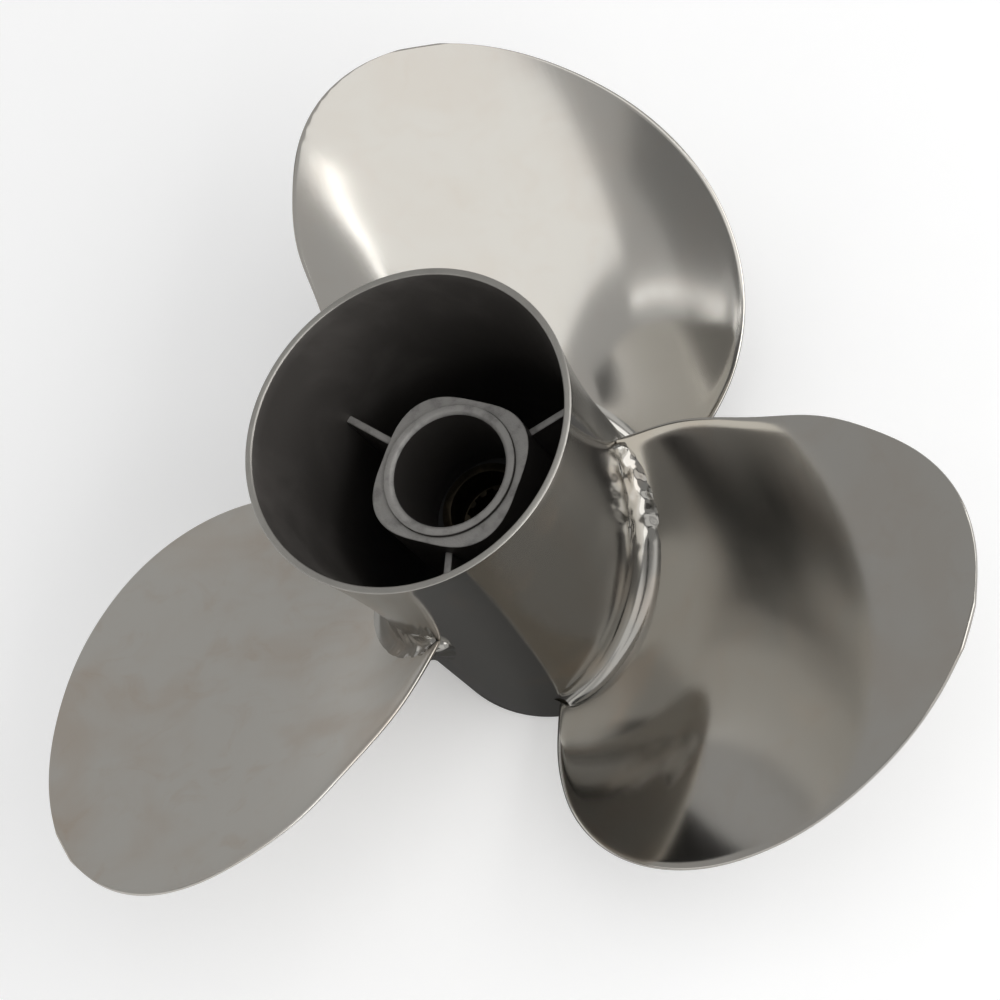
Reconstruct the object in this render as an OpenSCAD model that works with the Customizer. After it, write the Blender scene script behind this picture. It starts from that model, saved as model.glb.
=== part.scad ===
// Three-blade stainless outboard propeller, welded up from a flared exhaust barrel,
// three cast blades and a ribbed inner hub, with a rubber drive bush pressed inside.
// Origin: on the shaft axis, in the plane of the hub's fore end. +Z points aft.

/* [Blades] */
// Diameter over the blade tips
prop_d = 355.6; // [290:1:430]
// Advance of the driving face in one turn, at the blade's centre line
pitch = 279.4; // [230:1:336]
// Extra lift of the face towards both edges, in mm per squared radian
pitch_gain = 9.7; // [0:0.1:12]
// Aft rake of the blade's centre line, in degrees
rake = 17.9; // [8:0.1:22]
// Widest arc of the blade, from its leading to its trailing edge
blade_w = 160; // [130:1:192]
// Height of the blade's centre line above the hub's fore end, at the barrel
blade_seat = 52.4; // [50:0.1:60]
// Blade thickness at the root, mid-chord
root_t = 9; // [6:0.1:12]
// Blade thickness towards the tip, mid-chord
tip_t = 3.6; // [2.6:0.1:5]
// Thickness of the blade's edge
edge_t = 2.2; // [1.6:0.1:3]
// Radius of the weld run along each side of a blade root
weld_r = 9; // [4:0.1:11]

/* [Exhaust barrel] */
// Length of the hub
hub_len = 144; // [136:0.5:180]
// Outside diameter of the straight part of the barrel
barrel_d = 100; // [92:0.1:120]
// Wall of the barrel at its fore end
barrel_wall = 3; // [2.4:0.1:4]
// Growth in diameter from the straight barrel to the flared rim
flare_d = 10.8; // [4:0.1:16]
// Wall at the rim
rim_wall = 2.4; // [2:0.1:3]
// Length over which the barrel flares out
flare_len = 70; // [40:1:90]
// Length of the register bored in the barrel's fore end
register_len = 6; // [3:0.5:6]

/* [Inner hub] */
// Distance from the rim forward to the washer seat
seat_depth = 35.4; // [28:0.1:44]
// Recess of the inner hub behind the barrel's fore end
nose_recess = 8; // [6:0.5:12]
// Radial width of the lobes' tops outside the rubber bush
lobe_wall = 6.4; // [5:0.1:8]
// Radial width of the necks between the lobes outside the rubber bush
neck_wall = 3.3; // [2.4:0.1:5]
// Diameter of the aft bore
aft_bore_d = 39.2; // [36:0.1:40.5]
// Radial width of the raised washer seat
seat_w = 3.4; // [2:0.1:4]
// Height of the raised washer seat
seat_h = 1.4; // [0.6:0.1:2]
// Thickness of the three ribs
rib_t = 2.6; // [2:0.1:4]
// Distance from the washer seat forward to the ribs' aft edges
rib_drop = 7; // [4:0.5:14]

/* [Rubber drive hub] */
// Outside diameter of the rubber bush
bush_d = 44; // [41.5:0.1:53]
// Length of the rubber bush
bush_len = 58; // [40:1:70]
// Outside diameter of the splined sleeve
sleeve_d = 32; // [29.6:0.1:35.5]
// Length by which the sleeve stands out of the rubber at the aft end
sleeve_tail = 7; // [2:0.5:12]
// Major diameter of the shaft's spline
spline_d = 25; // [20.8:0.1:25.5]
// Depth of the spline teeth
spline_h = 1.4; // [1:0.1:1.8]
// Number of spline teeth
spline_teeth = 15; // [12:1:20]
// Length of the plain pilot at each end of the sleeve
pilot_len = 12; // [8:0.5:16]
// Radial clearance of the plain pilots outside the spline
pilot_gap = 0.5; // [0.3:0.1:1]
// Radial running clearance between the sleeve and the rubber
run_gap = 0.05; // [0.02:0.01:0.1]

/* [Hidden] */
$fn = 96;
BLADES = 3;
// Bearings of the first blade, the first rib and the first lobe, in degrees about the axis
blade_bearing = 86;
rib_bearing = 12.6;
lobe_bearing = 11.9;
LOBES = 4;
lobe_steps = 96;
// Depth to which a weld joins two pieces of the hub
bond = 0.4;
// How far the fore weld runs stop short of the hub's fore end
end_margin = 0.5;
// Leading and trailing edges at stations evenly spaced in latitude, from the barrel to the
// tip: their distance along the arc from the blade's centre line, as shares of blade_w
LEAD = [0.356, 0.526, 0.644, 0.684, 0.638, 0.513, 0.340, 0.177, 0.029];
TRAIL = [0.199, 0.268, 0.296, 0.319, 0.304, 0.268, 0.202, 0.102, -0.029];
// The last row stops short of the pole, so that the tip has no needle triangles
top_latitude = 86;
span_rows = 24;
chord_cols = 26;
weld_cols = 32;
weld_steps = 5;
flare_steps = 10;
rim_ease = 0.6;
chamfer = 1;
// Radial depths of the register in the barrel and of the relief ahead of the aft bore
register_depth = 0.6;
relief_depth = 0.8;
degree = 180 / PI;
barrel_r = barrel_d / 2;
tip_r = prop_d / 2;
// How far the rounded edge of a blade stands out beyond its two faces
edge_nose = edge_t * 0.4;
flare_z = hub_len - flare_len;
seat_z = hub_len - seat_depth;
flange_z = seat_z - seat_h;
bush_z = nose_recess + 2;
shoulder_z = bush_z + bush_len;
sleeve_z = nose_recess - 1;
sleeve_len = shoulder_z + sleeve_tail - sleeve_z;
pilot_r = spline_d / 2 + pilot_gap;
rib_fore_z = nose_recess + 4;
rib_aft_z = seat_z - rib_drop;

// ---- barrel ----

function flare(z) = pow(max(0, (z - flare_z) / flare_len), 2);
function barrel_outer(z) = barrel_r + flare_d / 2 * flare(z);
function barrel_inner(z) = barrel_outer(z) - barrel_wall + (barrel_wall - rim_wall) * flare(z);
flare_heights = [for (i = [0:flare_steps]) flare_z + (flare_len - rim_ease) * i / flare_steps];

module exhaust_barrel() {
    outer = [for (z = flare_heights) [barrel_outer(z), z]];
    inner = [for (i = [flare_steps:-1:0]) [barrel_inner(flare_heights[i]), flare_heights[i]]];
    bore_r = barrel_r - barrel_wall;
    register_r = bore_r + register_depth;
    color("slategray") rotate_extrude() polygon(concat(
        [[bore_r, register_len], [register_r, register_len], [register_r, 0]],
        [[barrel_r - rim_ease, 0], [barrel_r, rim_ease]],
        outer,
        [[barrel_outer(hub_len) - rim_ease, hub_len], [barrel_inner(hub_len) + rim_ease, hub_len]],
        inner));
}

// ---- inner hub and ribs ----

function lobe_outline(a) = bush_d / 2 + (lobe_wall + neck_wall) / 2
    + (lobe_wall - neck_wall) / 2 * cos(LOBES * (a - lobe_bearing));

module lobed_section() {
    polygon([for (i = [0:lobe_steps - 1]) let (a = 360 * i / lobe_steps)
        lobe_outline(a) * [cos(a), sin(a)]]);
}

module inner_hub() {
    bore_r = aft_bore_d / 2;
    bush_r = bush_d / 2;
    color("dimgray") difference() {
        union() {
            translate([0, 0, nose_recess]) linear_extrude(flange_z - nose_recess) lobed_section();
            translate([0, 0, shoulder_z]) cylinder(r = bore_r + seat_w, h = seat_z - shoulder_z);
        }
        translate([0, 0, -1]) cylinder(r = bush_r, h = shoulder_z + 1);
        translate([0, 0, nose_recess]) cylinder(r1 = bush_r + chamfer, r2 = bush_r, h = chamfer);
        cylinder(r = bore_r, h = hub_len);
        translate([0, 0, shoulder_z]) cylinder(r = bore_r + relief_depth, h = sleeve_tail + 1);
        translate([0, 0, seat_z - chamfer]) cylinder(r1 = bore_r, r2 = bore_r + chamfer, h = chamfer);
    }
}

module rib(i) {
    bearing = rib_bearing + i * 360 / BLADES;
    foot = lobe_outline(bearing) - bond;
    steps = flare_steps;
    crest = [for (j = [0:steps]) let (z = rib_fore_z + (rib_aft_z - rib_fore_z) * j / steps)
        [barrel_inner(z) + bond, z]];
    color("gray") rotate([0, 0, bearing]) rotate([90, 0, 0])
        linear_extrude(rib_t, center = true)
            polygon(concat([[foot, rib_aft_z], [foot, rib_fore_z]], crest));
}

module rib_1() { rib(0); }
module rib_2() { rib(1); }
module rib_3() { rib(2); }

// ---- blades ----

// Smooth curve through evenly spaced values, at position x counted in steps
function through(v, x) =
    let (i = min(floor(x), len(v) - 2), f = x - i, b = v[i], c = v[i + 1],
        a = i > 0 ? v[i - 1] : 2 * b - c,
        d = i < len(v) - 2 ? v[i + 2] : 2 * c - b)
    b + f / 2 * (c - a + f * (2 * a - 5 * b + 4 * c - d + f * (3 * b - 3 * c + d - a)));

function lead_arc(lat) = blade_w * through(LEAD, lat / 90 * (len(LEAD) - 1)) - edge_nose;
function trail_arc(lat) = blade_w * through(TRAIL, lat / 90 * (len(TRAIL) - 1)) - edge_nose;

// Driving face: its height above the fore end, at a bearing from the blade's centre line
function face_z(a, r) = blade_seat + pitch * a / 360 + pitch_gain * pow(a / degree, 2)
    + (r - barrel_r) * tan(rake);
// Slope of the face's section on the cylinder of radius r
function face_slope(a, r) = atan((pitch / (2 * PI) + 2 * pitch_gain * a / degree) / r);
// Bearing at share s of the chord, from the leading (0) to the trailing edge (1)
function chord_angle(lat, s, r) =
    degree / r * (s * trail_arc(lat) - (1 - s) * lead_arc(lat));
function root_radius(s) = barrel_outer(face_z(chord_angle(0, s, barrel_r), barrel_r)) - bond;
function span_radius(lat, s) =
    root_radius(s) + (tip_r - edge_nose - root_radius(s)) * sin(lat) / sin(top_latitude);
function blade_t(lat, s) = edge_t + 4 * s * (1 - s) * (1 - pow(lat / 90, 6))
    * (tip_t - edge_t + (root_t - tip_t) * (1 - sin(lat)));

// Point at radius r and bearing a, moved off the face: up along its normal, along its chord
function off_face(a, r, up, along) =
    let (slope = face_slope(a, r), turn = degree / r * (along * cos(slope) - up * sin(slope)))
    [r * cos(a + turn), r * sin(a + turn), face_z(a, r) + up * cos(slope) + along * sin(slope)];

function blade_point(lat, s, up, along = 0, out = 0) =
    let (r = span_radius(lat, s)) off_face(chord_angle(lat, s, r), r, up, along)
    + out * [cos(chord_angle(lat, s, r)), sin(chord_angle(lat, s, r)), 0];

// Row and column of step k along the outline: up the leading edge, over the tip, down again
function outline_cell(k) = k <= span_rows ? [k, 0]
    : k < span_rows + chord_cols ? [span_rows, k - span_rows]
    : [2 * span_rows + chord_cols - k, chord_cols];

function nose_point(k) =
    let (cell = outline_cell(k), lat = top_latitude * cell[0] / span_rows,
        s = cell[1] / chord_cols, at_tip = cell[0] == span_rows ? 1 : 0,
        side = s == 0 ? -1 : s == 1 ? 1 : 0, share = at_tip * abs(side) == 1 ? 0.7 : 1)
    blade_point(lat, s, -blade_t(lat, s) / 2, side * share * edge_nose, at_tip * share * edge_nose);

module blade(i) {
    row = chord_cols + 1;
    sheet = row * (span_rows + 1);
    steps = 2 * span_rows + chord_cols;
    cells = [for (n = [0:span_rows], m = [0:chord_cols])
        [top_latitude * n / span_rows, m / chord_cols]];
    aft = [for (c = cells) blade_point(c[0], c[1], 0)];
    fore = [for (c = cells) blade_point(c[0], c[1], -blade_t(c[0], c[1]))];
    nose = [for (k = [0:steps]) nose_point(k)];
    rim = [for (k = [0:steps]) outline_cell(k)[0] * row + outline_cell(k)[1]];
    // Each wall is a list of four-point cells, all turned the same way round
    walls = concat(
        [for (n = [0:span_rows - 1], m = [0:chord_cols - 1]) let (p = n * row + m)
            [p, p + 1, p + row + 1, p + row]],
        [for (n = [0:span_rows - 1], m = [0:chord_cols - 1]) let (p = sheet + n * row + m)
            [p, p + row, p + row + 1, p + 1]],
        [for (k = [0:steps - 1]) [rim[k], rim[k + 1], 2 * sheet + k + 1, 2 * sheet + k]],
        [for (k = [0:steps - 1])
            [2 * sheet + k, 2 * sheet + k + 1, sheet + rim[k + 1], sheet + rim[k]]],
        [for (m = [0:chord_cols - 1]) [m + 1, m, sheet + m, sheet + m + 1]]);
    ends = [[0, 2 * sheet, sheet], [chord_cols, sheet + chord_cols, 2 * sheet + steps]];
    color("silver") rotate([0, 0, blade_bearing + i * 360 / BLADES])
        polyhedron(concat(aft, fore, nose), concat(halves(walls), ends));
}

function halves(cells) = [for (c = cells) each [[c[0], c[1], c[2]], [c[0], c[2], c[3]]]];

module blade_1() { blade(0); }
module blade_2() { blade(1); }
module blade_3() { blade(2); }

// ---- weld runs in the corners between blade and barrel ----

// The run thins out towards both edges of the blade
function weld_size(s) = weld_r * (0.35 + 0.65 * pow(sin(180 * s), 0.5));
// Room for a fore run between the blade's fore face and the hub's fore end
function fore_room(s) =
    let (r = root_radius(s), a = chord_angle(0, s, barrel_r))
    (face_z(a, r) - end_margin) / cos(face_slope(a, r)) - blade_t(0, s);

// Point of a run at share s of the chord: off is its distance from the blade's face, and
// up its height above the barrel. side is 1 on the aft face and -1 on the fore face.
function weld_point(s, off, up, side) =
    let (r = root_radius(s) + bond + up, root_a = chord_angle(0, s, barrel_r),
        lift = side > 0 ? off : -off - blade_t(asin(max(0, up) / (tip_r - barrel_r)), s))
    off_face(root_a * root_radius(s) / r, r, lift, 0);

function weld_section(s, side) =
    let (w = side > 0 ? weld_size(s) : min(weld_size(s), fore_room(s)))
    concat([[-bond, -bond], [w, -bond]],
        [for (k = [0:weld_steps]) let (a = 90 * k / weld_steps) w * [1 - sin(a), 1 - cos(a)]],
        [[-bond, w]]);

module weld(i, side) {
    ring = weld_steps + 4;
    margin = 0.004;
    stations = [for (k = [0:weld_cols]) margin + (1 - 2 * margin) * (1 - cos(180 * k / weld_cols)) / 2];
    points = [for (s = stations) for (p = weld_section(s, side)) weld_point(s, p[0], p[1], side)];
    skin = [for (k = [0:weld_cols - 1], q = [0:ring - 1])
        let (a = k * ring + q, b = k * ring + (q + 1) % ring) [a, b, b + ring, a + ring]];
    ends = [[for (q = [0:ring - 1]) weld_cols * ring + q], [for (q = [ring - 1:-1:0]) q]];
    faces = concat(halves(skin), ends);
    turned = side > 0 ? faces : [for (f = faces) [for (q = [len(f) - 1:-1:0]) f[q]]];
    color("lightgray") rotate([0, 0, blade_bearing + i * 360 / BLADES])
        polyhedron(points, turned);
}

module weld_aft_1() { weld(0, 1); }
module weld_aft_2() { weld(1, 1); }
module weld_aft_3() { weld(2, 1); }
module weld_fore_1() { weld(0, -1); }
module weld_fore_2() { weld(1, -1); }
module weld_fore_3() { weld(2, -1); }

// ---- rubber drive hub ----

module rubber_bush() {
    inner = sleeve_d / 2 + run_gap;
    outer = bush_d / 2;
    color("black") translate([0, 0, bush_z]) rotate_extrude() polygon([
        [inner, 0], [outer - 2 * chamfer, 0], [outer, 2 * chamfer],
        [outer, bush_len - chamfer], [outer - chamfer, bush_len], [inner, bush_len]]);
}

module spline_section() {
    tooth = 360 / spline_teeth;
    major = spline_d / 2;
    minor = major - spline_h;
    polygon([for (i = [0:spline_teeth - 1]) for (corner = [[minor, -0.3], [major, -0.2],
        [major, 0.2], [minor, 0.3]]) let (a = tooth * (i + corner[1]))
        corner[0] * [cos(a), sin(a)]]);
}

module splined_sleeve() {
    color("goldenrod") translate([0, 0, sleeve_z]) difference() {
        cylinder(d = sleeve_d, h = sleeve_len);
        translate([0, 0, -1]) linear_extrude(sleeve_len + 2) spline_section();
        translate([0, 0, -1]) cylinder(r = pilot_r, h = pilot_len + 1);
        cylinder(r1 = pilot_r + chamfer, r2 = pilot_r, h = chamfer);
        translate([0, 0, sleeve_len - pilot_len]) cylinder(r = pilot_r, h = pilot_len + 1);
    }
}

exhaust_barrel();
inner_hub();
rib_1();
rib_2();
rib_3();
blade_1();
blade_2();
blade_3();
weld_aft_1();
weld_aft_2();
weld_aft_3();
weld_fore_1();
weld_fore_2();
weld_fore_3();
rubber_bush();
splined_sleeve();
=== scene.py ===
"""Boat propeller: smooth surfaces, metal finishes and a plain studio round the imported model.

Every piece is in metres, in the model's own frame: the shaft axis is Z, and the hub's fore end
stands on the floor at z = 0.
"""

import math
from contextlib import contextmanager

import bpy
from bpy.props import FloatProperty, FloatVectorProperty, IntProperty, PointerProperty
from mathutils import Matrix, Vector


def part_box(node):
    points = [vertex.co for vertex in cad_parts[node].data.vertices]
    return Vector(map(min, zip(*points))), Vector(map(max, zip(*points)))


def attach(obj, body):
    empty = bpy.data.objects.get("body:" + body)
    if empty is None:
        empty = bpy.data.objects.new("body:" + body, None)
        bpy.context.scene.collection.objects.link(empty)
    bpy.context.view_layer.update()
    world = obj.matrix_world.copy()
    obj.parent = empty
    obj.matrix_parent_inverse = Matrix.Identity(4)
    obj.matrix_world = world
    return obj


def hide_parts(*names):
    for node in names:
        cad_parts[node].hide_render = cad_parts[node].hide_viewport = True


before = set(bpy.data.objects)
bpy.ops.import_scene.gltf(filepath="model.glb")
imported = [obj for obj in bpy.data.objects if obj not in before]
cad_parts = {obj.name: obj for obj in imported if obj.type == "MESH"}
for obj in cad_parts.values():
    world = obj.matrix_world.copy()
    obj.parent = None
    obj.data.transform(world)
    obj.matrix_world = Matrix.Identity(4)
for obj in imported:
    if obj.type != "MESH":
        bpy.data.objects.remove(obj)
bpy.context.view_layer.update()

bl_info = {
    "name": "Boat propeller",
    "version": (1, 0, 0),
    "blender": (4, 5, 0),
    "location": "3D View > Sidebar > Propeller",
    "description": "Builds the surfaces and finishes of a welded three-blade propeller",
    "category": "Object",
}

MM = 0.001
# Soft boxes and dark flags of the studio: the piece that each one faces, its bearing, elevation,
# width, height and tilt in degrees as that piece sees it, and its brightness, where lit paper is 1
SOFT_BOXES = {
    "top_box": ("blade_1", -15, 70, 34, 34, 0, 0.76),
    "side_box": ("exhaust_barrel", -25, 29, 90, 38, 0, 2.4),
    "low_box": ("exhaust_barrel", 212, 17.5, 134, 27, 0, 0.78),
    "right_strip": ("blade_1", 18, 58, 1, 17, -12, 3.5),
    "left_strip": ("blade_1", -126, 70, 20, 0.7, 14, 2.6),
}
FLAGS = {
    "low_flag": ("blade_3", 134, 27, 6, 16, 10, 0.02),
    "under_flag": ("exhaust_barrel", 200, 14.6, 88, 7.5, -5, 0.02),
    "upper_flag": ("exhaust_barrel", 250, 25.3, 42, 4.8, 6, 0.02),
    "top_flag": ("blade_1", -112, 61, 46, 12, 0, 0.12),
    "edge_flag": ("blade_1", -153, 75, 16, 14, 0, 0.25),
}
BLADES = (1, 2, 3)
BARREL_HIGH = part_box("exhaust_barrel")[1]


# ---- what a user may change ----


class BarrelSettings(bpy.types.PropertyGroup):
    straight_radius: FloatProperty(
        name="Straight radius", description="Outside radius ahead of the flare",
        default=50 * MM, min=40 * MM, max=60 * MM, unit="LENGTH")
    flare_length: FloatProperty(
        name="Flare length", description="Length over which the barrel opens towards the rim",
        default=70 * MM, min=40 * MM, max=90 * MM, unit="LENGTH")
    wall: FloatProperty(
        name="Wall", description="Wall ahead of the flare",
        default=3 * MM, min=2 * MM, max=4 * MM, unit="LENGTH")
    rim_wall: FloatProperty(
        name="Rim wall", description="Wall at the rim",
        default=2.4 * MM, min=2 * MM, max=3 * MM, unit="LENGTH")
    rim_round: FloatProperty(
        name="Rim rounding", description="Radius of the rim's two edges",
        default=0.6 * MM, min=0.2 * MM, max=1 * MM, unit="LENGTH")
    register_length: FloatProperty(
        name="Register length", description="Length of the wider bore at the fore end",
        default=6 * MM, min=3 * MM, max=6 * MM, unit="LENGTH")
    register_depth: FloatProperty(
        name="Register depth", description="How much wider the fore end's bore is, on the radius",
        default=0.6 * MM, min=0.2 * MM, max=1 * MM, unit="LENGTH")
    segments: IntProperty(
        name="Segments", description="Facets round the barrel", default=256, min=64, max=512)


class FinishSettings(bpy.types.PropertyGroup):
    steel: FloatVectorProperty(
        name="Steel", description="Buffed stainless steel", subtype="COLOR", size=3,
        default=(0.56, 0.54, 0.50), min=0, max=1)
    stain: FloatVectorProperty(
        name="Stain", description="Brownish haze in the polish", subtype="COLOR", size=3,
        default=(0.50, 0.42, 0.345), min=0, max=1)
    # Painted shade: darker than the blades' steel, though it is the same metal, so that the barrel's
    # reflections come out dark.
    barrel: FloatVectorProperty(
        name="Barrel", description="Polished outside of the barrel", subtype="COLOR", size=3,
        default=(0.38, 0.368, 0.342), min=0, max=1)
    # Also used as painted shade on the inner hub's and ribs' faces that don't look aft.
    soot: FloatVectorProperty(
        name="Soot", description="Exhaust film inside the barrel", subtype="COLOR", size=3,
        default=(0.088, 0.081, 0.075), min=0, max=1)
    casting: FloatVectorProperty(
        name="Casting", description="As-cast skin of the inner hub", subtype="COLOR", size=3,
        default=(0.42, 0.408, 0.39), min=0, max=1)
    rubber: FloatVectorProperty(
        name="Rubber", description="Moulded rubber of the bush", subtype="COLOR", size=3,
        default=(0.03, 0.03, 0.03), min=0, max=1)
    # Near black: painted shade, as the sleeve sits deep in the dark bore.
    brass: FloatVectorProperty(
        name="Brass", description="Machined brass of the sleeve", subtype="COLOR", size=3,
        default=(0.05, 0.04, 0.026), min=0, max=1)
    haze: FloatVectorProperty(
        name="Haze", description="Roughness of the three blades", size=3,
        default=(0.1, 0.32, 0.085), min=0.02, max=0.8)
    # Painted light and shade: the three blades are one steel, each drawn lighter or darker to match
    # how it is lit, the third darkest.
    tone: FloatVectorProperty(
        name="Tone", description="Brightness of the steel of the three blades", size=3,
        default=(0.98, 0.96, 0.76), min=0.2, max=1.2)
    cloudiness: FloatVectorProperty(
        name="Cloudiness", description="Share of stain on the three blades", size=3,
        default=(0.25, 0.85, 0.4), min=0, max=1)


class WeldSettings(bpy.types.PropertyGroup):
    lump_height: FloatProperty(
        name="Lump height", description="Height of the lumps where a run ends",
        default=2.6 * MM, min=0, max=5 * MM, unit="LENGTH")
    lump_size: FloatProperty(
        name="Lump size", description="Size of the lumps along the run",
        default=5 * MM, min=2 * MM, max=20 * MM, unit="LENGTH")
    lump_reach: FloatProperty(
        name="Lump reach", description="Distance from the trailing end over which lumps fade out",
        default=26 * MM, min=5 * MM, max=60 * MM, unit="LENGTH")


class StudioSettings(bpy.types.PropertyGroup):
    floor_radius: FloatProperty(
        name="Floor radius", description="Radius of the round floor",
        default=4, min=1, max=10, unit="LENGTH")
    floor_colour: FloatVectorProperty(
        name="Floor", description="Matte floor", subtype="COLOR", size=3,
        default=(0.95, 0.95, 0.95), min=0, max=1)
    floor_glow: FloatProperty(
        name="Floor glow", description="Brightness that the camera alone adds to the floor",
        default=0.16, min=0, max=1)
    # Painted shadow: a dark disc under the propeller, seen only in reflections, stands in for the
    # shade near the hub's foot.
    shadow_disc_radius: FloatProperty(
        name="Foot radius", description="Radius of the dark disc that the metal sees underneath",
        default=0.14, min=0.05, max=0.5, unit="LENGTH")
    shadow_disc_shade: FloatProperty(
        name="Foot shade", description="Lightness of that disc", default=0.17, min=0, max=1)
    room_light: FloatProperty(
        name="Room light", description="Strength of the even light from all round",
        default=0.5, min=0, max=2)
    box_light: FloatProperty(
        name="Box light", description="Brightness of all soft boxes together",
        default=1.0, min=0, max=4)
    distance: FloatProperty(
        name="Distance", description="From the piece that a soft box or flag faces",
        default=2.4, min=1, max=5, unit="LENGTH")


class CameraSettings(bpy.types.PropertyGroup):
    aim: FloatVectorProperty(
        name="Aim", description="Point on the line of sight nearest the shaft axis", size=3,
        default=(0.04979, 0.02068, 0.07538), unit="LENGTH")
    distance: FloatProperty(
        name="Distance", description="From the aim point back to the camera",
        default=0.8979, min=0.3, max=5, unit="LENGTH")
    bearing: FloatProperty(
        name="Bearing", description="Direction of the camera about the shaft axis, from +X",
        default=math.radians(-67.44), subtype="ANGLE")
    elevation: FloatProperty(
        name="Elevation", description="Height of the camera above the horizon",
        default=math.radians(58.9), subtype="ANGLE")
    roll: FloatProperty(
        name="Roll", description="Turn of the camera about its line of sight",
        default=math.radians(39.92), subtype="ANGLE")
    lens: FloatProperty(name="Lens", description="Focal length in mm", default=96.75, min=20, max=300)
    shift: FloatVectorProperty(
        name="Shift", description="Sideways and upward shift of the frame", size=2,
        default=(-0.110, -0.097), min=-0.5, max=0.5)


# ---- modelling ----


def only(obj):
    """Leaves obj selected, active and alone."""
    bpy.ops.object.select_all(action="DESELECT")
    obj.select_set(True)
    bpy.context.view_layer.objects.active = obj


@contextmanager
def editing(obj):
    """Edit mode on obj, with all of it selected at the start."""
    only(obj)
    bpy.ops.object.mode_set(mode="EDIT")
    bpy.ops.mesh.select_all(action="SELECT")
    yield
    bpy.ops.object.mode_set(mode="OBJECT")


def apply_modifier(obj, kind, **settings):
    """Adds one modifier, sets it up and applies it."""
    only(obj)
    modifier = obj.modifiers.new(kind.title(), kind)
    for key, value in settings.items():
        setattr(modifier, key, value)
    bpy.ops.object.modifier_apply(modifier=modifier.name)


def skin_of(node):
    """A merged copy of a CAD node, to finish as a smooth surface."""
    obj = bpy.data.objects.new(f"{node}_surface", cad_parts[node].data.copy())
    obj.data.materials.clear()
    bpy.context.scene.collection.objects.link(obj)
    only(obj)
    bpy.ops.mesh.customdata_custom_splitnormals_clear()
    with editing(obj):
        bpy.ops.mesh.remove_doubles(threshold=1e-6)
    return obj


def smooth_by_angle(obj, degrees):
    """Smooth shading, with edges sharper than the angle left crisp."""
    only(obj)
    bpy.ops.object.shade_smooth_by_angle(angle=math.radians(degrees))


def rounded(obj, radius, degrees=40, segments=3):
    """Rounds every edge that is sharper than the angle."""
    with editing(obj):
        bpy.ops.mesh.dissolve_limited(angle_limit=math.radians(0.5))
    apply_modifier(
        obj, "BEVEL", width=radius, segments=segments, limit_method="ANGLE",
        angle_limit=math.radians(degrees), use_clamp_overlap=True)
    smooth_by_angle(obj, 30)


def flowing(obj, levels, crisp=180):
    """Turns a fine triangle mesh into quads and subdivides it, keeping edges sharper than crisp."""
    with editing(obj):
        bpy.ops.mesh.tris_convert_to_quads(
            face_threshold=math.radians(35), shape_threshold=math.radians(170))
        bpy.ops.mesh.select_all(action="DESELECT")
        bpy.ops.mesh.edges_select_sharp(sharpness=math.radians(crisp))
        bpy.ops.transform.edge_crease(value=1)
    apply_modifier(obj, "SUBSURF", levels=levels, render_levels=levels)
    smooth_by_angle(obj, min(crisp, 60))


def lumpy(obj, weight_at, height, size):
    """Raises soft lumps where weight_at says, from 0 to 1 at a point."""
    group = obj.vertex_groups.new(name="lumps")
    for vertex in obj.data.vertices:
        group.add([vertex.index], weight_at(vertex.co), "REPLACE")
    clouds = bpy.data.textures.new(f"{obj.name}_lumps", "CLOUDS")
    clouds.noise_scale = size
    clouds.noise_depth = 0
    apply_modifier(
        obj, "DISPLACE", texture=clouds, texture_coords="LOCAL", strength=height,
        mid_level=0.35, vertex_group=group.name)


def turned(name, profile, segments):
    """A closed solid of revolution about Z: one ring, extruded and resized round the profile."""
    radius, height = profile[0]
    bpy.ops.object.select_all(action="DESELECT")
    bpy.ops.mesh.primitive_circle_add(vertices=segments, radius=radius, location=(0, 0, height))
    bpy.ops.object.transform_apply(location=True)
    obj = bpy.context.object
    obj.name = name
    with editing(obj):
        for new_radius, new_height in [*profile[1:], profile[0]]:
            bpy.ops.mesh.extrude_region_move(
                TRANSFORM_OT_translate={"value": (0, 0, new_height - height)})
            share = new_radius / radius
            bpy.ops.transform.resize(value=(share, share, 1), center_override=(0, 0, new_height))
            radius, height = new_radius, new_height
        bpy.ops.mesh.select_all(action="SELECT")
        bpy.ops.mesh.remove_doubles(threshold=1e-6)
        bpy.ops.mesh.normals_make_consistent(inside=False)
    return obj


def finish_piece(obj, body, slot, finish, *nodes):
    """Gives a piece its finish and its body, and hides the CAD nodes that it stands for."""
    obj.data.materials.append(finish)
    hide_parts(*nodes)
    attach(obj, body)


# ---- shader maths ----


class Value:
    """One number or vector socket of a finish, with Python's arithmetic on it."""

    def __init__(self, finish, socket):
        self.finish = finish
        self.socket = socket

    def _maths(self, operation, first, second=None, clamp=False):
        inputs = {0: first} if second is None else {0: first, 1: second}
        settings = {"operation": operation, "use_clamp": clamp}
        return self.finish.add("ShaderNodeMath", settings, inputs)

    def __add__(self, other):
        return self._maths("ADD", self, other)

    __radd__ = __add__

    def __sub__(self, other):
        return self._maths("SUBTRACT", self, other)

    def __rsub__(self, other):
        return self._maths("SUBTRACT", other, self)

    def __mul__(self, other):
        return self._maths("MULTIPLY", self, other)

    __rmul__ = __mul__

    def __truediv__(self, other):
        return self._maths("DIVIDE", self, other)

    def __pow__(self, other):
        return self._maths("POWER", self, other)

    def clamped(self):
        """Held between 0 and 1."""
        return self._maths("ADD", self, 0.0, clamp=True)

    def between(self, low, high):
        """A smooth 0 to 1 as the value goes from low to high."""
        settings = {"interpolation_type": "SMOOTHSTEP"}
        inputs = {"Value": self, "From Min": low, "From Max": high}
        return self.finish.add("ShaderNodeMapRange", settings, inputs)


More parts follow.
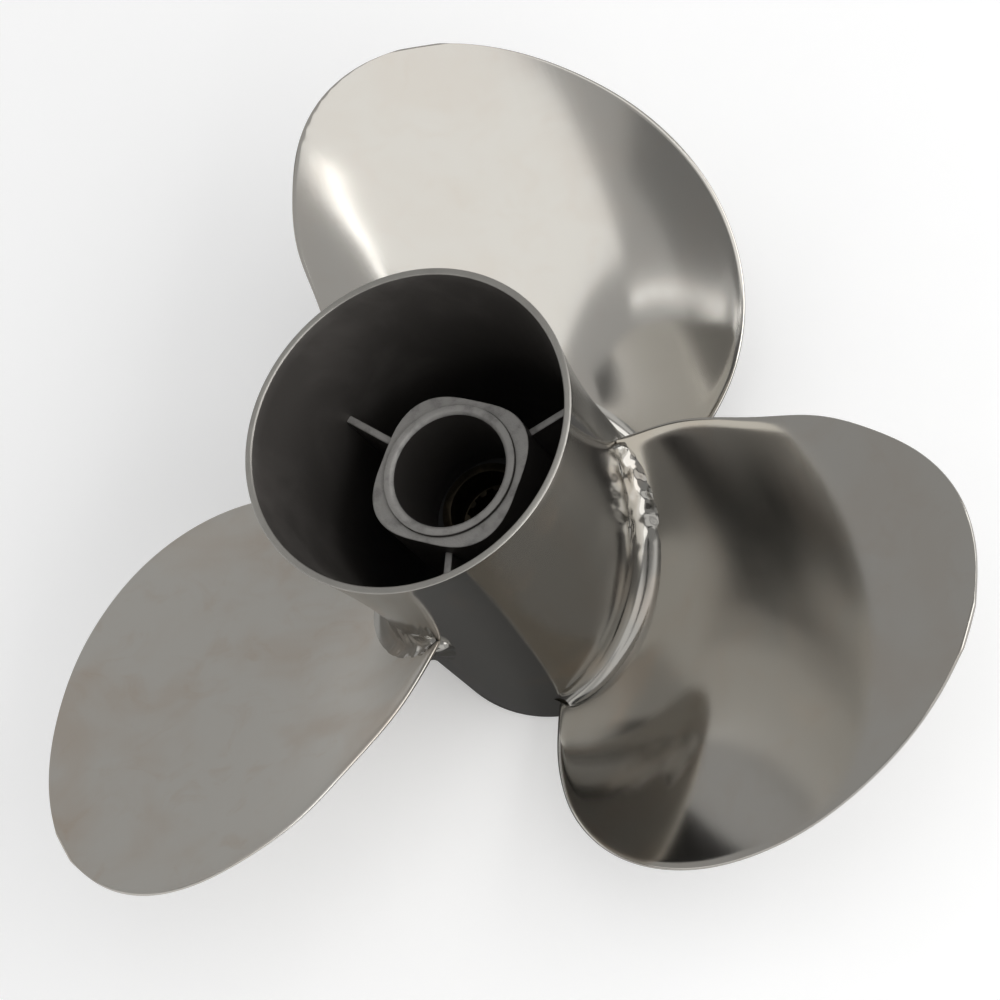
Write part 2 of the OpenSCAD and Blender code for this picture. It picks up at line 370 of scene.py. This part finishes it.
class Finish:
    """A node tree under construction, with one method that adds any node."""

    def __init__(self, name, tree=None):
        self.material = None
        if tree is None:
            self.material = bpy.data.materials.new(name)
            self.material.use_nodes = True
            tree = self.material.node_tree
        self.tree = tree
        tree.nodes.clear()

    def add(self, kind, settings=None, inputs=None, output=0):
        """Adds a node, sets it up and returns one of its outputs as a Value."""
        node = self.tree.nodes.new(kind)
        for key, value in (settings or {}).items():
            setattr(node, key, value)
        for key, value in (inputs or {}).items():
            if isinstance(value, Value):
                self.tree.links.new(value.socket, node.inputs[key])
            else:
                node.inputs[key].default_value = value
        return Value(self, node.outputs[output]) if node.outputs else None

    def place(self, stretch=(1, 1, 1), turn=(0, 0, 0)):
        """Object coordinates in metres, stretched and turned."""
        coordinates = self.add("ShaderNodeTexCoord", output="Object")
        return self.add("ShaderNodeMapping", None, {
            "Vector": coordinates, "Scale": stretch, "Rotation": turn})

    def noise(self, scale, detail=2.0, roughness=0.5, distortion=0.0, place=None):
        """Cloudy noise from 0 to 1, with scale in features per metre."""
        return self.add("ShaderNodeTexNoise", None, {
            "Vector": place or self.place(), "Scale": scale, "Detail": detail,
            "Roughness": roughness, "Distortion": distortion})

    def colour_mix(self, share, first, second):
        """first where share is 0, second where it is 1."""
        first, second = (c if isinstance(c, Value) else (*c[:3], 1) for c in (first, second))
        return self.add("ShaderNodeMix", {"data_type": "RGBA"}, {0: share, 6: first, 7: second}, 2)

    def bump(self, height, distance, strength=1.0):
        """A normal that follows a height from 0 to 1, distance metres high."""
        return self.add("ShaderNodeBump", None, {
            "Height": height, "Distance": distance, "Strength": strength})

    def surface(self, **inputs):
        """The Principled shader and the output; underscores in names stand for spaces."""
        named = {key.replace("_", " "): value for key, value in inputs.items()}
        shader = self.add("ShaderNodeBsdfPrincipled", None, named)
        self.add("ShaderNodeOutputMaterial", None, {"Surface": shader})
        return self.material


# ---- finishes ----


def buffed_steel(name, steel, stain, haze, cloudiness):
    """Stainless steel off the buffing wheel: hazy clouds, stains and faint wheel lines."""
    finish = Finish(name)
    clouds = finish.noise(26, 3, 0.55, 0.4)
    blotches = finish.noise(70, 4, 0.6, 0.8)
    lines = finish.noise(700, 1, 0.5, 0, finish.place((1, 0.06, 0.06), (0.3, 0.2, 0.6)))
    swell = finish.noise(16, 1, 0.4)
    stained = (clouds.between(0.42, 0.72) * 0.6 + blotches.between(0.5, 0.75) * 0.4) * cloudiness
    rough = haze * (0.7 + 0.6 * clouds) + lines * haze * 0.2
    height = swell * 0.995 + lines * 0.005
    return finish.surface(
        Base_Color=finish.colour_mix(stained.clamped(), steel, stain), Metallic=1.0,
        Roughness=rough, Normal=finish.bump(height, 0.00025))


def mirror_steel(name, steel, stain):
    """The barrel's outside, polished brighter than the blades, with faint streaks."""
    finish = Finish(name)
    clouds = finish.noise(38, 3, 0.5, 0.6)
    streaks = finish.noise(500, 2, 0.5, 0, finish.place((1, 1, 0.05)))
    swell = finish.noise(24, 1, 0.4)
    return finish.surface(
        Base_Color=finish.colour_mix(clouds.between(0.5, 0.8) * 0.5, steel, stain), Metallic=1.0,
        Roughness=0.07 + 0.1 * clouds + 0.03 * streaks, Normal=finish.bump(swell, 0.0004))


def ground_steel(name, steel):
    """The rim's end face, ground flat: fine rings about the shaft axis."""
    finish = Finish(name)
    place = finish.place()
    rings = finish.add("ShaderNodeTexWave", {
        "wave_type": "RINGS", "rings_direction": "Z", "wave_profile": "SIN"}, {
        "Vector": place, "Scale": 1400, "Distortion": 3.0, "Detail": 2.0}, "Fac")
    patches = finish.noise(120, 3)
    return finish.surface(
        Base_Color=finish.colour_mix(patches.between(0.4, 0.7) * 0.35, steel, (0.3, 0.29, 0.27)),
        Metallic=1.0, Roughness=0.3 + 0.12 * patches, Normal=finish.bump(rings, 0.00003))


def sooty_steel(name, soot):
    """The barrel's inside: dark exhaust film over drawn metal, wiped thin in cloudy patches."""
    finish = Finish(name)
    film = finish.noise(30, 4, 0.6, 0.5)
    scuffs = finish.noise(160, 3, 0.6, 0, finish.place((1, 1, 0.3)))
    bare = tuple(1.8 * c for c in soot)
    return finish.surface(
        Base_Color=finish.colour_mix(film.between(0.45, 0.8) * 0.5, soot, bare), Metallic=0.6,
        Roughness=0.36 + 0.2 * film, Normal=finish.bump(scuffs, 0.00012))


def cast_steel(name, casting):
    """As-cast stainless: matte, grainy, with darker pits and rubbed high spots."""
    finish = Finish(name)
    grain = finish.noise(1300, 3, 0.6)
    mottle = finish.noise(190, 4, 0.6)
    dark = tuple(0.55 * c for c in casting)
    return finish.surface(
        Base_Color=finish.colour_mix(mottle.between(0.45, 0.75) * 0.7, casting, dark),
        Metallic=0.6, Roughness=0.55 + 0.2 * mottle,
        Normal=finish.bump(grain * 0.5 + mottle * 0.5, 0.0003))


def rubber_black(name, rubber):
    """Moulded rubber with a dull, slightly dusty skin."""
    finish = Finish(name)
    dust = finish.noise(240, 3, 0.6)
    pale = tuple(2.2 * c for c in rubber)
    return finish.surface(
        Base_Color=finish.colour_mix(dust.between(0.5, 0.8) * 0.5, rubber, pale),
        Roughness=0.7 + 0.15 * dust, Normal=finish.bump(dust, 0.0001))


def grease_and_shade_brass(name, brass):
    """Machined brass, darkened by grease; its near-black colour is painted shade for the sleeve deep
    in the bore.
    """
    finish = Finish(name)
    grease = finish.noise(150, 4, 0.6)
    turning = finish.noise(800, 1, 0.5, 0, finish.place((0.05, 0.05, 1)))
    dark = tuple(0.35 * c for c in brass)
    return finish.surface(
        Base_Color=finish.colour_mix(grease.between(0.35, 0.65), brass, dark), Metallic=0.9,
        Roughness=0.4 + 0.25 * grease, Normal=finish.bump(turning, 0.00004))


def matte_board(name, colour, glow=0.0):
    """Matte board, with a glow that only the camera sees."""
    finish = Finish(name)
    grain = finish.noise(40, 3)
    shade = tuple(0.985 * c for c in colour)
    seen = finish.add("ShaderNodeLightPath", output="Is Camera Ray")
    return finish.surface(
        Base_Color=finish.colour_mix(grain, colour, shade), Roughness=0.9,
        Specular_IOR_Level=0.0, Emission_Strength=1.0,
        Emission_Color=finish.colour_mix(seen, (0, 0, 0), [glow] * 3))


# ---- pieces ----


def barrel_profile(sizes):
    """Section of the barrel wall, outside first, then the rim and back down the inside."""
    length = BARREL_HIGH.z
    rim_radius = BARREL_HIGH.x
    flare_start = length - sizes.flare_length
    growth = rim_radius - sizes.straight_radius

    def flare(z):
        return max(0.0, (z - flare_start) / sizes.flare_length) ** 2

    def outside(z):
        return sizes.straight_radius + growth * flare(z)

    def inside(z):
        return outside(z) - sizes.wall + (sizes.wall - sizes.rim_wall) * flare(z)

    ease = sizes.rim_round
    steps = 16
    heights = [flare_start + (sizes.flare_length - ease) * i / steps for i in range(steps + 1)]
    bore = sizes.straight_radius - sizes.wall
    register = bore + sizes.register_depth
    quarter = [math.radians(90 * i / 4) for i in range(1, 4)]
    fore_edge = [(sizes.straight_radius - ease * (1 - math.sin(a)), ease * (1 - math.cos(a)))
                 for a in quarter]
    outer_edge = [(outside(length) - ease * (1 - math.cos(a)), length - ease * (1 - math.sin(a)))
                  for a in quarter]
    inner_edge = [(inside(length) + ease * (1 - math.sin(a)), length - ease * (1 - math.cos(a)))
                  for a in quarter]
    straight = [(sizes.straight_radius, ease + (flare_start - ease) * i / 6) for i in range(6)]
    bore_wall = [(bore, flare_start + (sizes.register_length - flare_start) * i / 6)
                 for i in range(1, 7)]
    return [
        (register, 0), (sizes.straight_radius - ease, 0), *fore_edge, *straight,
        *[(outside(z), z) for z in heights], *outer_edge,
        (outside(length) - ease, length), (inside(length) + ease, length), *inner_edge,
        *[(inside(z), z) for z in reversed(heights)], *bore_wall,
        (register, sizes.register_length),
    ]


def make_barrel(sizes, colours):
    obj = turned("exhaust_barrel_surface", barrel_profile(sizes), sizes.segments)
    smooth_by_angle(obj, 30)
    # Painted shade: the barrel's colour is darker than the steel of the blades.
    finish_piece(obj, "propeller", "polished_barrel",
                 mirror_steel("mirror_barrel", colours.barrel, colours.stain), "exhaust_barrel")
    obj.data.materials.append(sooty_steel("sooty_barrel", colours.soot))
    obj.data.materials.append(ground_steel("ground_rim", [0.7 * c for c in colours.steel]))
    rim_height = BARREL_HIGH.z - sizes.rim_round / 2
    for face in obj.data.polygons:
        outward = face.normal.x * face.center.x + face.normal.y * face.center.y
        if face.center.z > rim_height:
            face.material_index = 2
        elif outward < 0:
            face.material_index = 1


def soot_and_shade_sides(obj, finish):
    """Gives the faces that don't look aft a film of soot, partly real exhaust film and partly painted
    shade in the bore and on the sides.
    """
    obj.data.materials.append(finish)
    for face in obj.data.polygons:
        # Painted shade: faces turned away from the aft side, such as the bore and the rib flanks, are
        # darkened.
        if face.normal.z < 0.35:
            face.material_index = 1


def make_inner_hub(colours):
    obj = skin_of("inner_hub")
    rounded(obj, 0.5 * MM)
    finish_piece(obj, "propeller", "cast_core",
                 cast_steel("cast_inner_hub", colours.casting), "inner_hub")
    soot_and_shade_sides(obj, sooty_steel("soot_and_shade_inner_hub", colours.soot))


def make_ribs(colours):
    finish = cast_steel("cast_rib", colours.casting)
    film = sooty_steel("soot_and_shade_rib", colours.soot)
    for number in BLADES:
        obj = skin_of(f"rib_{number}")
        rounded(obj, 0.6 * MM)
        finish_piece(obj, "propeller", "cast_core", finish, f"rib_{number}")
        soot_and_shade_sides(obj, film)


def make_blades(colours):
    for number in BLADES:
        obj = skin_of(f"blade_{number}")
        flowing(obj, 2)
        index = number - 1
        # Painted shade: each blade's steel and stain are scaled by that blade's own brightness,
        # though all three are one metal.
        steel, stain = ([colours.tone[index] * c for c in colour]
                        for colour in (colours.steel, colours.stain))
        finish = buffed_steel(f"buffed_blade_{number}", steel, stain,
                              colours.haze[index], colours.cloudiness[index])
        finish_piece(obj, "propeller", "polished_blade", finish, f"blade_{number}")


def make_welds(welds, colours):
    # Painted shade: the welds take the barrel's colour darkened further, which dims their highlights.
    finish = mirror_steel("polished_weld", [0.8 * c for c in colours.barrel], colours.stain)
    for number in BLADES:
        for side in ("aft", "fore"):
            node = f"weld_{side}_{number}"
            obj = skin_of(node)
            flowing(obj, 3, crisp=50)
            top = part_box(node)[1].z

            def near_trailing_end(point):
                return max(0.0, 1 - (top - point.z) / welds.lump_reach) ** 0.7

            lumpy(obj, near_trailing_end, welds.lump_height, welds.lump_size)
            finish_piece(obj, "propeller", "weld_run", finish, node)


def make_bush(colours):
    obj = skin_of("rubber_bush")
    rounded(obj, 0.5 * MM)
    finish_piece(obj, "propeller", "bush_rubber",
                 rubber_black("bush_black", colours.rubber), "rubber_bush")


def make_sleeve(colours):
    obj = skin_of("splined_sleeve")
    rounded(obj, 0.2 * MM, segments=2)
    finish_piece(obj, "drive_sleeve", "sleeve_brass",
                 grease_and_shade_brass("sleeve_metal", colours.brass), "splined_sleeve")


# ---- studio ----


def make_floor(studio):
    bpy.ops.object.select_all(action="DESELECT")
    bpy.ops.mesh.primitive_circle_add(
        vertices=96, radius=studio.floor_radius, fill_type="NGON", location=(0, 0, 0))
    floor = bpy.context.object
    floor.name = "studio_floor"
    floor.data.materials.append(matte_board("floor_matte", studio.floor_colour, studio.floor_glow))


def facing(node, bearing, elevation, tilt, distance):
    """Place of a board that faces a piece from a bearing and elevation, tilted, in degrees."""
    low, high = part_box(node)
    bearing, elevation = math.radians(bearing), math.radians(elevation)
    direction = Vector((math.cos(elevation) * math.cos(bearing),
                        math.cos(elevation) * math.sin(bearing), math.sin(elevation)))
    across = Vector((-math.sin(bearing), math.cos(bearing), 0))
    turn = Matrix((across, direction.cross(across), direction)).transposed().to_4x4()
    tilted = Matrix.Rotation(math.radians(tilt), 4, "Z")
    return Matrix.Translation((low + high) / 2 + direction * distance) @ turn @ tilted


def spans(distance, *degrees):
    """Lengths that look that many degrees wide from a distance."""
    return [2 * distance * math.tan(math.radians(angle) / 2) for angle in degrees]


def add_soft_box(name, studio, node, bearing, elevation, width, height, tilt, brightness):
    data = bpy.data.lights.new(name, "AREA")
    data.shape = "RECTANGLE"
    data.size, data.size_y = spans(studio.distance, width, height)
    data.energy = brightness * studio.box_light * math.pi * data.size * data.size_y
    lamp = bpy.data.objects.new(name, data)
    bpy.context.scene.collection.objects.link(lamp)
    lamp.matrix_world = facing(node, bearing, elevation, tilt, studio.distance)


def add_flag(name, distance, node, bearing, elevation, width, height, tilt, shade):
    """A dark board that polished steel sees in place of the bright room."""
    bpy.ops.object.select_all(action="DESELECT")
    bpy.ops.mesh.primitive_plane_add(size=1)
    flag = bpy.context.object
    flag.name = name
    wide, high = spans(distance, width, height)
    flag.matrix_world = facing(node, bearing, elevation, tilt, distance) @ Matrix.Diagonal(
        (wide, high, 1, 1))
    flag.data.materials.append(matte_board(f"{name}_cloth", (shade, shade, shade)))
    flag.visible_camera = False


def add_painted_shadow_disc(studio):
    """A dark disc on the floor that only polished steel sees: a painted shadow under the propeller,
    shown only in the metal's reflections.
    """
    bpy.ops.object.select_all(action="DESELECT")
    bpy.ops.mesh.primitive_circle_add(
        vertices=64, radius=studio.shadow_disc_radius, fill_type="NGON", location=(0, 0, 0.2 * MM))
    disc = bpy.context.object
    disc.name = "painted_shadow_disc"
    disc.data.materials.append(matte_board("painted_shadow_cloth", [studio.shadow_disc_shade] * 3))
    disc.visible_camera = disc.visible_diffuse = disc.visible_shadow = False


def make_lights(studio):
    world = bpy.data.worlds.new("studio_world")
    world.use_nodes = True
    bpy.context.scene.world = world
    room = Finish("studio_world", world.node_tree)
    light = room.add("ShaderNodeBackground", None, {
        "Color": (1.0, 1.0, 1.0, 1), "Strength": studio.room_light})
    room.add("ShaderNodeOutputWorld", None, {"Surface": light})
    for name, layout in SOFT_BOXES.items():
        add_soft_box(name, studio, *layout)
    for order, (name, layout) in enumerate(FLAGS.items()):
        add_flag(name, studio.distance * (1 + 0.04 * order), *layout)
    add_painted_shadow_disc(studio)


def make_camera(view):
    toward = Vector((math.cos(view.elevation) * math.cos(view.bearing),
                     math.cos(view.elevation) * math.sin(view.bearing), math.sin(view.elevation)))
    level_right = (-toward).cross(Vector((0, 0, 1))).normalized()
    level_up = level_right.cross(-toward)
    right = math.cos(view.roll) * level_right - math.sin(view.roll) * level_up
    up = math.cos(view.roll) * level_up + math.sin(view.roll) * level_right
    data = bpy.data.cameras.new("studio_camera")
    data.lens = view.lens
    data.sensor_width = 36
    data.shift_x, data.shift_y = view.shift
    camera = bpy.data.objects.new("studio_camera", data)
    bpy.context.scene.collection.objects.link(camera)
    turn = Matrix((right, up, toward)).transposed().to_4x4()
    camera.matrix_world = Matrix.Translation(Vector(view.aim) + toward * view.distance) @ turn
    bpy.context.scene.camera = camera


# ---- operators ----


class PROPELLER_OT_stage(bpy.types.Operator):
    """Sets up the floor, the lamps and the camera"""
    bl_idname = "propeller.stage"
    bl_label = "Studio"

    def execute(self, context):
        context.scene.view_settings.view_transform = "Standard"
        make_camera(context.scene.propeller_camera)
        make_floor(context.scene.propeller_studio)
        make_lights(context.scene.propeller_studio)
        return {"FINISHED"}


class PROPELLER_OT_barrel(bpy.types.Operator):
    """Turns the exhaust barrel with its flared, ground rim"""
    bl_idname = "propeller.barrel"
    bl_label = "Exhaust barrel"

    def execute(self, context):
        make_barrel(context.scene.propeller_barrel, context.scene.propeller_finish)
        return {"FINISHED"}


class PROPELLER_OT_inner_hub(bpy.types.Operator):
    """Finishes the cast inner hub"""
    bl_idname = "propeller.inner_hub"
    bl_label = "Inner hub"

    def execute(self, context):
        make_inner_hub(context.scene.propeller_finish)
        return {"FINISHED"}


class PROPELLER_OT_ribs(bpy.types.Operator):
    """Finishes the three ribs between inner hub and barrel"""
    bl_idname = "propeller.ribs"
    bl_label = "Ribs"

    def execute(self, context):
        make_ribs(context.scene.propeller_finish)
        return {"FINISHED"}


class PROPELLER_OT_blades(bpy.types.Operator):
    """Smooths and buffs the three blades"""
    bl_idname = "propeller.blades"
    bl_label = "Blades"

    def execute(self, context):
        make_blades(context.scene.propeller_finish)
        return {"FINISHED"}


class PROPELLER_OT_welds(bpy.types.Operator):
    """Smooths the weld runs along the blade roots, with lumps at their trailing ends"""
    bl_idname = "propeller.welds"
    bl_label = "Weld runs"

    def execute(self, context):
        make_welds(context.scene.propeller_welds, context.scene.propeller_finish)
        return {"FINISHED"}


class PROPELLER_OT_bush(bpy.types.Operator):
    """Finishes the rubber bush"""
    bl_idname = "propeller.bush"
    bl_label = "Rubber bush"

    def execute(self, context):
        make_bush(context.scene.propeller_finish)
        return {"FINISHED"}


class PROPELLER_OT_sleeve(bpy.types.Operator):
    """Finishes the splined sleeve"""
    bl_idname = "propeller.sleeve"
    bl_label = "Splined sleeve"

    def execute(self, context):
        make_sleeve(context.scene.propeller_finish)
        return {"FINISHED"}


SETTINGS = {
    "propeller_barrel": BarrelSettings,
    "propeller_finish": FinishSettings,
    "propeller_welds": WeldSettings,
    "propeller_studio": StudioSettings,
    "propeller_camera": CameraSettings,
}
OPERATORS = (
    PROPELLER_OT_stage, PROPELLER_OT_barrel, PROPELLER_OT_inner_hub, PROPELLER_OT_ribs,
    PROPELLER_OT_blades, PROPELLER_OT_welds, PROPELLER_OT_bush, PROPELLER_OT_sleeve,
)


class PROPELLER_PT_panel(bpy.types.Panel):
    """Lists the propeller's operators and settings"""
    bl_label = "Propeller"
    bl_idname = "PROPELLER_PT_panel"
    bl_space_type = "VIEW_3D"
    bl_region_type = "UI"
    bl_category = "Propeller"

    def draw(self, context):
        for operator in OPERATORS:
            self.layout.operator(operator.bl_idname)
        for name in SETTINGS:
            box = self.layout.box()
            settings = getattr(context.scene, name)
            for key in settings.__annotations__:
                box.prop(settings, key)


def register():
    for kind in (*SETTINGS.values(), *OPERATORS, PROPELLER_PT_panel):
        bpy.utils.register_class(kind)
    for name, kind in SETTINGS.items():
        setattr(bpy.types.Scene, name, PointerProperty(type=kind))


def unregister():
    for name in SETTINGS:
        delattr(bpy.types.Scene, name)
    for kind in (PROPELLER_PT_panel, *reversed(OPERATORS), *SETTINGS.values()):
        bpy.utils.unregister_class(kind)


def main():
    register()
    for operator in OPERATORS:
        group, name = operator.bl_idname.split(".")
        getattr(getattr(bpy.ops, group), name)()


if __name__ == "__main__":
    main()
